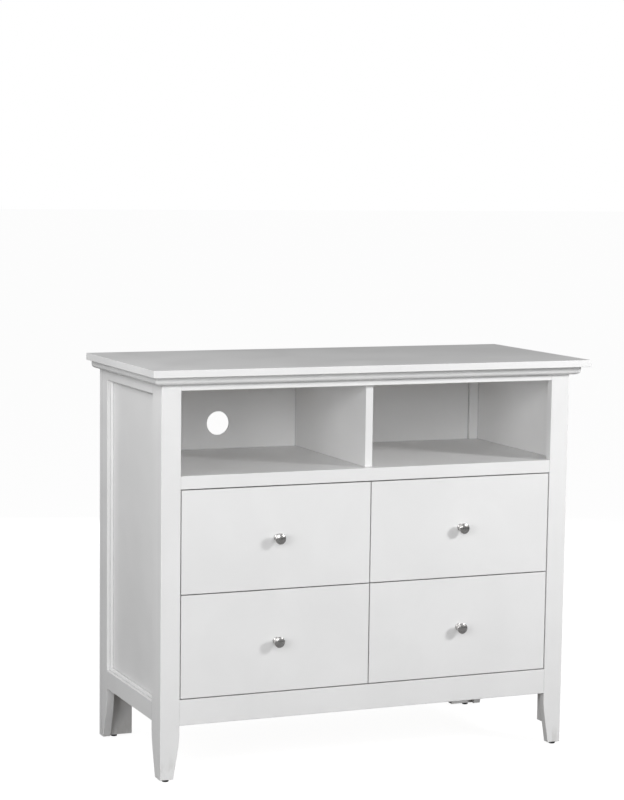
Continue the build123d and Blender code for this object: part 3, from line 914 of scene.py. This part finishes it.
class MEDIACABINET_OT_top(bpy.types.Operator):
    """Top board with rounded corners and eased edges"""

    bl_idname = "media_cabinet.top"
    bl_label = "Top Board"

    def execute(self, context):
        arris = settings().paint.arris
        corner, under_arris = 2.0 * MM, 1.0 * MM
        low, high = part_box("top_panel")
        top = block(low, high)
        edit(top)
        pick_edges(top, lambda a, b: abs(a.z - b.z) > MM)
        bpy.ops.mesh.bevel(offset=corner, segments=4, affect="EDGES")
        pick_edges(top, lambda a, b: a.z > high.z - 0.1 * MM and b.z > high.z - 0.1 * MM)
        bpy.ops.mesh.bevel(offset=arris, segments=4, affect="EDGES")
        pick_edges(top, lambda a, b: a.z < low.z + 0.1 * MM and b.z < low.z + 0.1 * MM)
        bpy.ops.mesh.bevel(offset=under_arris, segments=3, affect="EDGES")
        leave_edit()
        hand_over(top, "top_board", "carcass", "white_paint", ["top_panel"], "x")
        # The wide faces keep their own normals, and only the rounds blend.
        apply_modifier(top, "WEIGHTED_NORMAL", mode="FACE_AREA", weight=100, keep_sharp=True)
        return {"FINISHED"}


class MEDIACABINET_OT_knobs(bpy.types.Operator):
    """Turned knobs, each with the pan-head screw that holds it from inside"""

    bl_idname = "media_cabinet.knobs"
    bl_label = "Knobs"

    def execute(self, context):
        sides = settings().metal.knob_sides
        first = DRAWERS[0]
        spot = knob_spot(first)
        low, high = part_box(f"{first}_knob")
        radius = (high.x - low.x) / 2
        reach = spot.y - low.y
        outline = self.outline(radius, reach)
        knob = turned(spot, (0.0, -1.0, 0.0), outline, sides)
        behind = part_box(f"{first}_drawer_front")[1].y
        seat = Vector((spot.x, behind, spot.z))
        head_radius, shank_radius, shank_long = 4.5 * MM, 2.0 * MM, 27.0 * MM
        screw = pan_head_screw(
            seat, (0.0, 1.0, 0.0), head_radius, high.y - behind, shank_radius, shank_long
        )
        for drawer in DRAWERS[1:]:
            shift = knob_spot(drawer) - spot
            hand_over(
                copy_to(knob, shift),
                f"{drawer}_turned_knob",
                f"{drawer}_drawer",
                "satin_nickel",
                [f"{drawer}_knob"],
                smooth=24.0,
            )
            hand_over(copy_to(screw, shift), f"{drawer}_knob_screw", f"{drawer}_drawer", "zinc_steel")
        hand_over(
            knob, f"{first}_turned_knob", f"{first}_drawer", "satin_nickel", [f"{first}_knob"], smooth=24.0
        )
        hand_over(screw, f"{first}_knob_screw", f"{first}_drawer", "zinc_steel")
        return {"FINISHED"}

    def outline(self, radius, reach):
        """Foot ring, waisted neck, flare, rim and a gently domed face."""
        foot = 0.66 * radius
        waist = 0.49 * radius
        face = radius - 1.8 * MM
        shoulder = reach - 2.0 * MM
        rings = [(0.0, foot), (1.5 * MM, foot), (2.2 * MM, foot - 0.5 * MM), (2.5 * MM, foot - 1.2 * MM)]
        rings += curve((2.5 * MM, foot - 1.2 * MM), (5.0 * MM, waist - 1.0 * MM), (9.6 * MM, waist), 6)
        rings += curve((9.6 * MM, waist), (14.4 * MM, 0.7 * radius), (17.4 * MM, radius - 0.35 * MM), 7)
        rings += curve((17.4 * MM, radius - 0.35 * MM), (18.0 * MM, radius), (19.0 * MM, radius), 3)
        rings += curve((19.8 * MM, radius), (shoulder - 0.1 * MM, radius), (shoulder, face), 6)
        rings += curve((shoulder, face), (reach, 0.55 * face), (reach, 0.02 * face), 10)
        return rings


def pan_head_screw(seat, out, head_radius, head_high, shank_radius, shank_long):
    """Screw with a rounded head and a cross recess; out is the way its head points."""
    rim, crown = (0.45 * head_high, head_radius), (head_high, 0.3 * head_radius)
    dome = curve(rim, (head_high, 0.98 * head_radius), crown, 6)
    outline = [
        (-shank_long, 0.35 * shank_radius),
        (-shank_long + 1.2 * MM, shank_radius),
        (0.0, shank_radius),
        (0.0, 0.94 * head_radius),
        (0.08 * head_high, head_radius),
        rim,
    ]
    screw = turned(seat, out, outline + dome, 28)
    out = Vector(out)
    across = Vector((0.0, 0.0, 1.0)) if abs(out.z) < 0.5 else Vector((1.0, 0.0, 0.0))
    other = out.cross(across)
    for long_way, short_way in ((across, other), (other, across)):
        middle = Vector(seat) + out * head_high
        half = 0.52 * head_radius * long_way + 0.11 * head_radius * short_way + 0.62 * head_high * out
        half = Vector(map(abs, half))
        cutter = block(middle - half, middle + half)
        edit(cutter)
        bottom = (middle - half).dot(out)
        pick_faces(cutter, lambda centre, normal: normal.dot(out) < -0.9)
        cross_floor = middle + out * (bottom - middle.dot(out))
        bpy.ops.transform.resize(value=(0.55, 0.55, 0.55), center_override=cross_floor)
        leave_edit()
        cut_away(screw, cutter)
    return screw


class MEDIACABINET_OT_screws(bpy.types.Operator):
    """Slide screws and top screws, modelled once each and copied to their places"""

    bl_idname = "media_cabinet.screws"
    bl_label = "Screws"

    def execute(self, context):
        self.slide_screws()
        self.top_screws()
        return {"FINISHED"}

    def boxes_of(self, node):
        """The box of each separate screw in a node, as its low and high corners."""
        mesh = bmesh.new()
        mesh.from_mesh(frame["nodes"][node].data)
        bmesh.ops.remove_doubles(mesh, verts=mesh.verts, dist=0.01 * MM)
        left, found = set(mesh.verts), []
        while left:
            island, todo = [], [left.pop()]
            while todo:
                vertex = todo.pop()
                island.append(vertex.co.copy())
                for edge in vertex.link_edges:
                    other = edge.other_vert(vertex)
                    if other in left:
                        left.remove(other)
                        todo.append(other)
            low = Vector(min(co[axis] for co in island) for axis in range(3))
            high = Vector(max(co[axis] for co in island) for axis in range(3))
            found.append((low, high))
        mesh.free()
        return sorted(found, key=lambda box: tuple(box[0]))

    def slide_screws(self):
        """Each screw's head stands on the drawer's side of its slide."""
        node = "slide_screws"
        head_radius, head_high = 3.5 * MM, 0.7 * MM
        shank_radius, shank_long = 1.7 * MM, 7.0 * MM
        model = pan_head_screw((0, 0, 0), (1.0, 0.0, 0.0), head_radius, head_high, shank_radius, shank_long)
        screws = []
        faces = [face for drawer in DRAWERS for face in slide_faces(drawer)]
        gauge = settings().metal.gauge
        for low, high in self.boxes_of(node):
            middle = (low + high) / 2
            face, way = min(faces, key=lambda pair: abs(pair[0] + pair[1] * gauge - middle.x))
            seat = Vector((face + way * gauge, middle.y, middle.z))
            screws.append(copy_to(model, seat, mirrored=way < 0))
        bpy.data.objects.remove(model)
        hand_over(join(screws), "slide_pan_screws", "carcass", "zinc_steel", [node])

    def top_screws(self):
        """The heads sit in the rails' counterbores, pointing down."""
        node = "top_fixing_screws"
        boxes = self.boxes_of(node)
        low, high = boxes[0]
        head_high = 3.0 * MM
        radius = (high.x - low.x) / 2
        long = high.z - low.z - head_high
        model = pan_head_screw((0, 0, 0), (0.0, 0.0, -1.0), radius, head_high, 1.95 * MM, long)
        screws = []
        for screw_low, screw_high in boxes:
            middle = (screw_low + screw_high) / 2
            screws.append(copy_to(model, Vector((middle.x, middle.y, screw_low.z + head_high))))
        bpy.data.objects.remove(model)
        hand_over(join(screws), "top_pan_screws", "carcass", "zinc_steel", [node])


class MEDIACABINET_OT_slides(bpy.types.Operator):
    """Ball slides: bent steel members with slots, rear stops and release levers"""

    bl_idname = "media_cabinet.slides"
    bl_label = "Drawer Slides"

    def execute(self, context):
        metal = settings().metal
        self.gauge, self.bend = metal.gauge, metal.bend
        low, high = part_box(f"{DRAWERS[0]}_slide_inner_members")
        self.y_low, self.y_high = low.y, high.y
        outer_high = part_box("slide_outer_members")[1]
        middle_z = middle_of(f"{DRAWERS[0]}_slide_inner_members").z
        self.inner_half = high.z - middle_z
        self.outer_half = outer_high.z - middle_z
        self.space = slide_faces(DRAWERS[0])[0][1] * (
            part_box(f"{DRAWERS[0]}_drawer_sides")[0].x - slide_faces(DRAWERS[0])[0][0]
        )
        outer, inner = self.outer_member(), self.inner_member()
        stop, lever = self.rear_stop(), self.release_lever()
        outers, stops = [], []
        for drawer in DRAWERS:
            middle_z = middle_of(f"{drawer}_slide_inner_members").z
            inners, levers = [], []
            for face, way in slide_faces(drawer):
                shift = Vector((face, 0.0, middle_z))
                outers.append(copy_to(outer, shift, mirrored=way < 0))
                stops.append(copy_to(stop, shift, mirrored=way < 0))
                inners.append(copy_to(inner, shift, mirrored=way < 0))
                levers.append(copy_to(lever, shift, mirrored=way < 0))
            body = f"{drawer}_drawer"
            node = f"{drawer}_slide_inner_members"
            hand_over(join(inners), f"{drawer}_inner_members", body, "zinc_steel", [node])
            hand_over(join(levers), f"{drawer}_release_levers", body, "black_plastic")
        for model in (outer, inner, stop, lever):
            bpy.data.objects.remove(model)
        hand_over(join(outers), "outer_members", "carcass", "zinc_steel", ["slide_outer_members"])
        hand_over(join(stops), "slide_rear_stops", "carcass", "black_plastic")
        return {"FINISHED"}

    def bent_strip(self, web_x, half, flange_x, lip):
        """Web and two flanges from one strip, bent and given its thickness."""
        clear_selection()
        middle_y = (self.y_low + self.y_high) / 2
        bpy.ops.mesh.primitive_plane_add(
            size=1.0, location=(web_x, middle_y, 0.0), rotation=(0.0, math.radians(90.0), 0.0)
        )
        strip = bpy.context.object
        strip.scale = (2 * half, self.y_high - self.y_low, 1.0)
        bake_place()
        for sign in (1.0, -1.0):
            edit(strip)
            pick_edges(strip, lambda a, b: min(sign * a.z, sign * b.z) > half - 0.1 * MM)
            bpy.ops.mesh.extrude_region_move(TRANSFORM_OT_translate={"value": (flange_x - web_x, 0, 0)})
            if lip:
                bpy.ops.mesh.extrude_region_move(TRANSFORM_OT_translate={"value": (0, 0, -sign * lip)})
            leave_edit()
        edit(strip)
        bends = [web_x, flange_x] if lip else [web_x]
        pick_edges(
            strip,
            lambda a, b: abs(a.y - b.y) > MM
            and abs(abs(a.z) - half) < 0.1 * MM
            and min(abs(a.x - bend_x) for bend_x in bends) < 0.1 * MM,
        )
        bpy.ops.mesh.bevel(offset=self.bend - self.gauge / 2, segments=4, affect="EDGES")
        leave_edit()
        all_outward(strip)
        apply_modifier(strip, "SOLIDIFY", thickness=self.gauge, offset=0.0)
        all_outward(strip)
        return strip

    def slots(self, strip, web_x, places, long, high):
        """Cut round-ended slots through the web."""
        for place in places:
            y = self.y_low + place
            cutter = block(
                (web_x - 2 * MM, y - long / 2, -high / 2), (web_x + 2 * MM, y + long / 2, high / 2)
            )
            edit(cutter)
            pick_edges(cutter, lambda a, b: abs(a.x - b.x) > MM)
            bpy.ops.mesh.bevel(offset=0.49 * high, segments=6, affect="EDGES")
            leave_edit()
            cut_away(strip, cutter)

    def outer_member(self):
        web = self.gauge / 2
        reach = 10.5 * MM - self.gauge / 2
        strip = self.bent_strip(web, self.outer_half - self.gauge / 2, reach, 2.0 * MM)
        places = (80 * MM, 150 * MM, 220 * MM, 330 * MM)
        self.slots(strip, web, places, long=16 * MM, high=6 * MM)
        return strip

    def inner_member(self):
        web = self.space - self.gauge / 2
        reach = self.space - 9.0 * MM
        strip = self.bent_strip(web, self.inner_half - self.gauge / 2, reach, 0.0)
        places = (60 * MM, 130 * MM, 200 * MM, 300 * MM)
        self.slots(strip, web, places, long=14 * MM, high=5 * MM)
        return strip

    def rear_stop(self):
        """Rubber stop that catches the drawer at the back of the outer member."""
        half = 11 * MM
        stop = block((1.25 * MM, self.y_high - 11 * MM, -half), (3.6 * MM, self.y_high - 0.5 * MM, half))
        edit(stop)
        pick_edges(stop, lambda a, b: True)
        bpy.ops.mesh.bevel(offset=0.8 * MM, segments=3, affect="EDGES")
        leave_edit()
        return stop

    def release_lever(self):
        """Curved plastic lever that lets the drawer come off its slides."""
        far = self.space - self.gauge - 0.05 * MM
        lever = block((far - 3 * MM, self.y_low + 18 * MM, -4 * MM), (far, self.y_low + 30 * MM, 4 * MM))
        edit(lever)
        for rise, thin in ((-1.5 * MM, 0.8), (-3.0 * MM, 0.8), (-3.5 * MM, 0.75)):
            pick_faces(lever, lambda centre, normal: normal.y > 0.7 and centre.y > self.y_low + 29 * MM)
            bpy.ops.mesh.extrude_region_move(TRANSFORM_OT_translate={"value": (0, 12 * MM, rise)})
            ends = [v.co.copy() for v in bmesh.from_edit_mesh(lever.data).verts if v.select]
            centre = sum(ends, Vector()) / len(ends)
            bpy.ops.transform.resize(value=(1.0, 1.0, thin), center_override=centre)
        bpy.ops.mesh.select_all(action="DESELECT")
        pick_edges(lever, lambda a, b: abs(a.x - b.x) < 0.01 * MM)
        bpy.ops.mesh.bevel(offset=0.5 * MM, segments=2, affect="EDGES")
        leave_edit()
        return lever


class MEDIACABINET_OT_glides(bpy.types.Operator):
    """Round glides under the four feet, each with its nail"""

    bl_idname = "media_cabinet.glides"
    bl_label = "Glides"

    def execute(self, context):
        up = (0.0, 0.0, 1.0)
        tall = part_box("foot_glides")[1].z
        radius, round_foot, arris = 7.5 * MM, 1.8 * MM, 0.3 * MM
        recess_high, recess_radius = 0.9 * MM, 2.2 * MM
        axis = 0.1 * MM
        skin = [(recess_high, axis), (recess_high, recess_radius)]
        skin += [(0.0, 2.6 * MM), (0.0, radius - round_foot)]
        skin += curve((0.0, radius - round_foot), (0.0, radius), (round_foot, radius), 6)
        skin += [(tall - arris, radius), (tall, radius - arris), (tall, axis)]
        model = turned((0, 0, 0), up, skin, 40)
        head_radius = 1.9 * MM
        head = [(0.0, 1.2 * MM), (0.2 * MM, head_radius), (0.6 * MM, head_radius)]
        nail = turned((0, 0, 0.3 * MM), up, head, 24)
        glides, nails = [], []
        for name in ("left_front", "left_rear", "right_front", "right_rear"):
            mount = next(m for m in frame["record"]["mounts"] if m["name"] == f"{name}_foot")
            place = Vector(mount["pos_m"])
            glides.append(copy_to(model, place))
            nails.append(copy_to(nail, place))
        bpy.data.objects.remove(model)
        bpy.data.objects.remove(nail)
        hand_over(join(glides), "nail_on_glides", "carcass", "black_plastic", ["foot_glides"])
        hand_over(join(nails), "glide_nails", "carcass", "zinc_steel")
        return {"FINISHED"}


OPERATORS = (
    MEDIACABINET_OT_studio,
    MEDIACABINET_OT_boards,
    MEDIACABINET_OT_top,
    MEDIACABINET_OT_knobs,
    MEDIACABINET_OT_screws,
    MEDIACABINET_OT_slides,
    MEDIACABINET_OT_glides,
)


class MEDIACABINET_PT_panel(bpy.types.Panel):
    """Lists the cabinet's pieces and their settings"""

    bl_label = "Media Cabinet"
    bl_space_type = "VIEW_3D"
    bl_region_type = "UI"
    bl_category = "Media Cabinet"

    def draw(self, context):
        for operator in OPERATORS:
            self.layout.operator(operator.bl_idname)
        for group in (settings().paint, settings().wood, settings().metal, settings().studio):
            box = self.layout.box()
            for name in group.bl_rna.properties.keys():
                if name not in ("rna_type", "name"):
                    box.prop(group, name)


CLASSES = (
    (PaintSettings, WoodSettings, MetalSettings, StudioSettings, CabinetSettings)
    + OPERATORS
    + (MEDIACABINET_PT_panel,)
)


def register():
    for cls in CLASSES:
        bpy.utils.register_class(cls)
    bpy.types.Scene.media_cabinet = PointerProperty(type=CabinetSettings)


def unregister():
    del bpy.types.Scene.media_cabinet
    for cls in reversed(CLASSES):
        bpy.utils.unregister_class(cls)


def main():
    register()
    for operator in OPERATORS:
        group, name = operator.bl_idname.split(".")
        getattr(getattr(bpy.ops, group), name)()


if __name__ == "__main__":
    main()
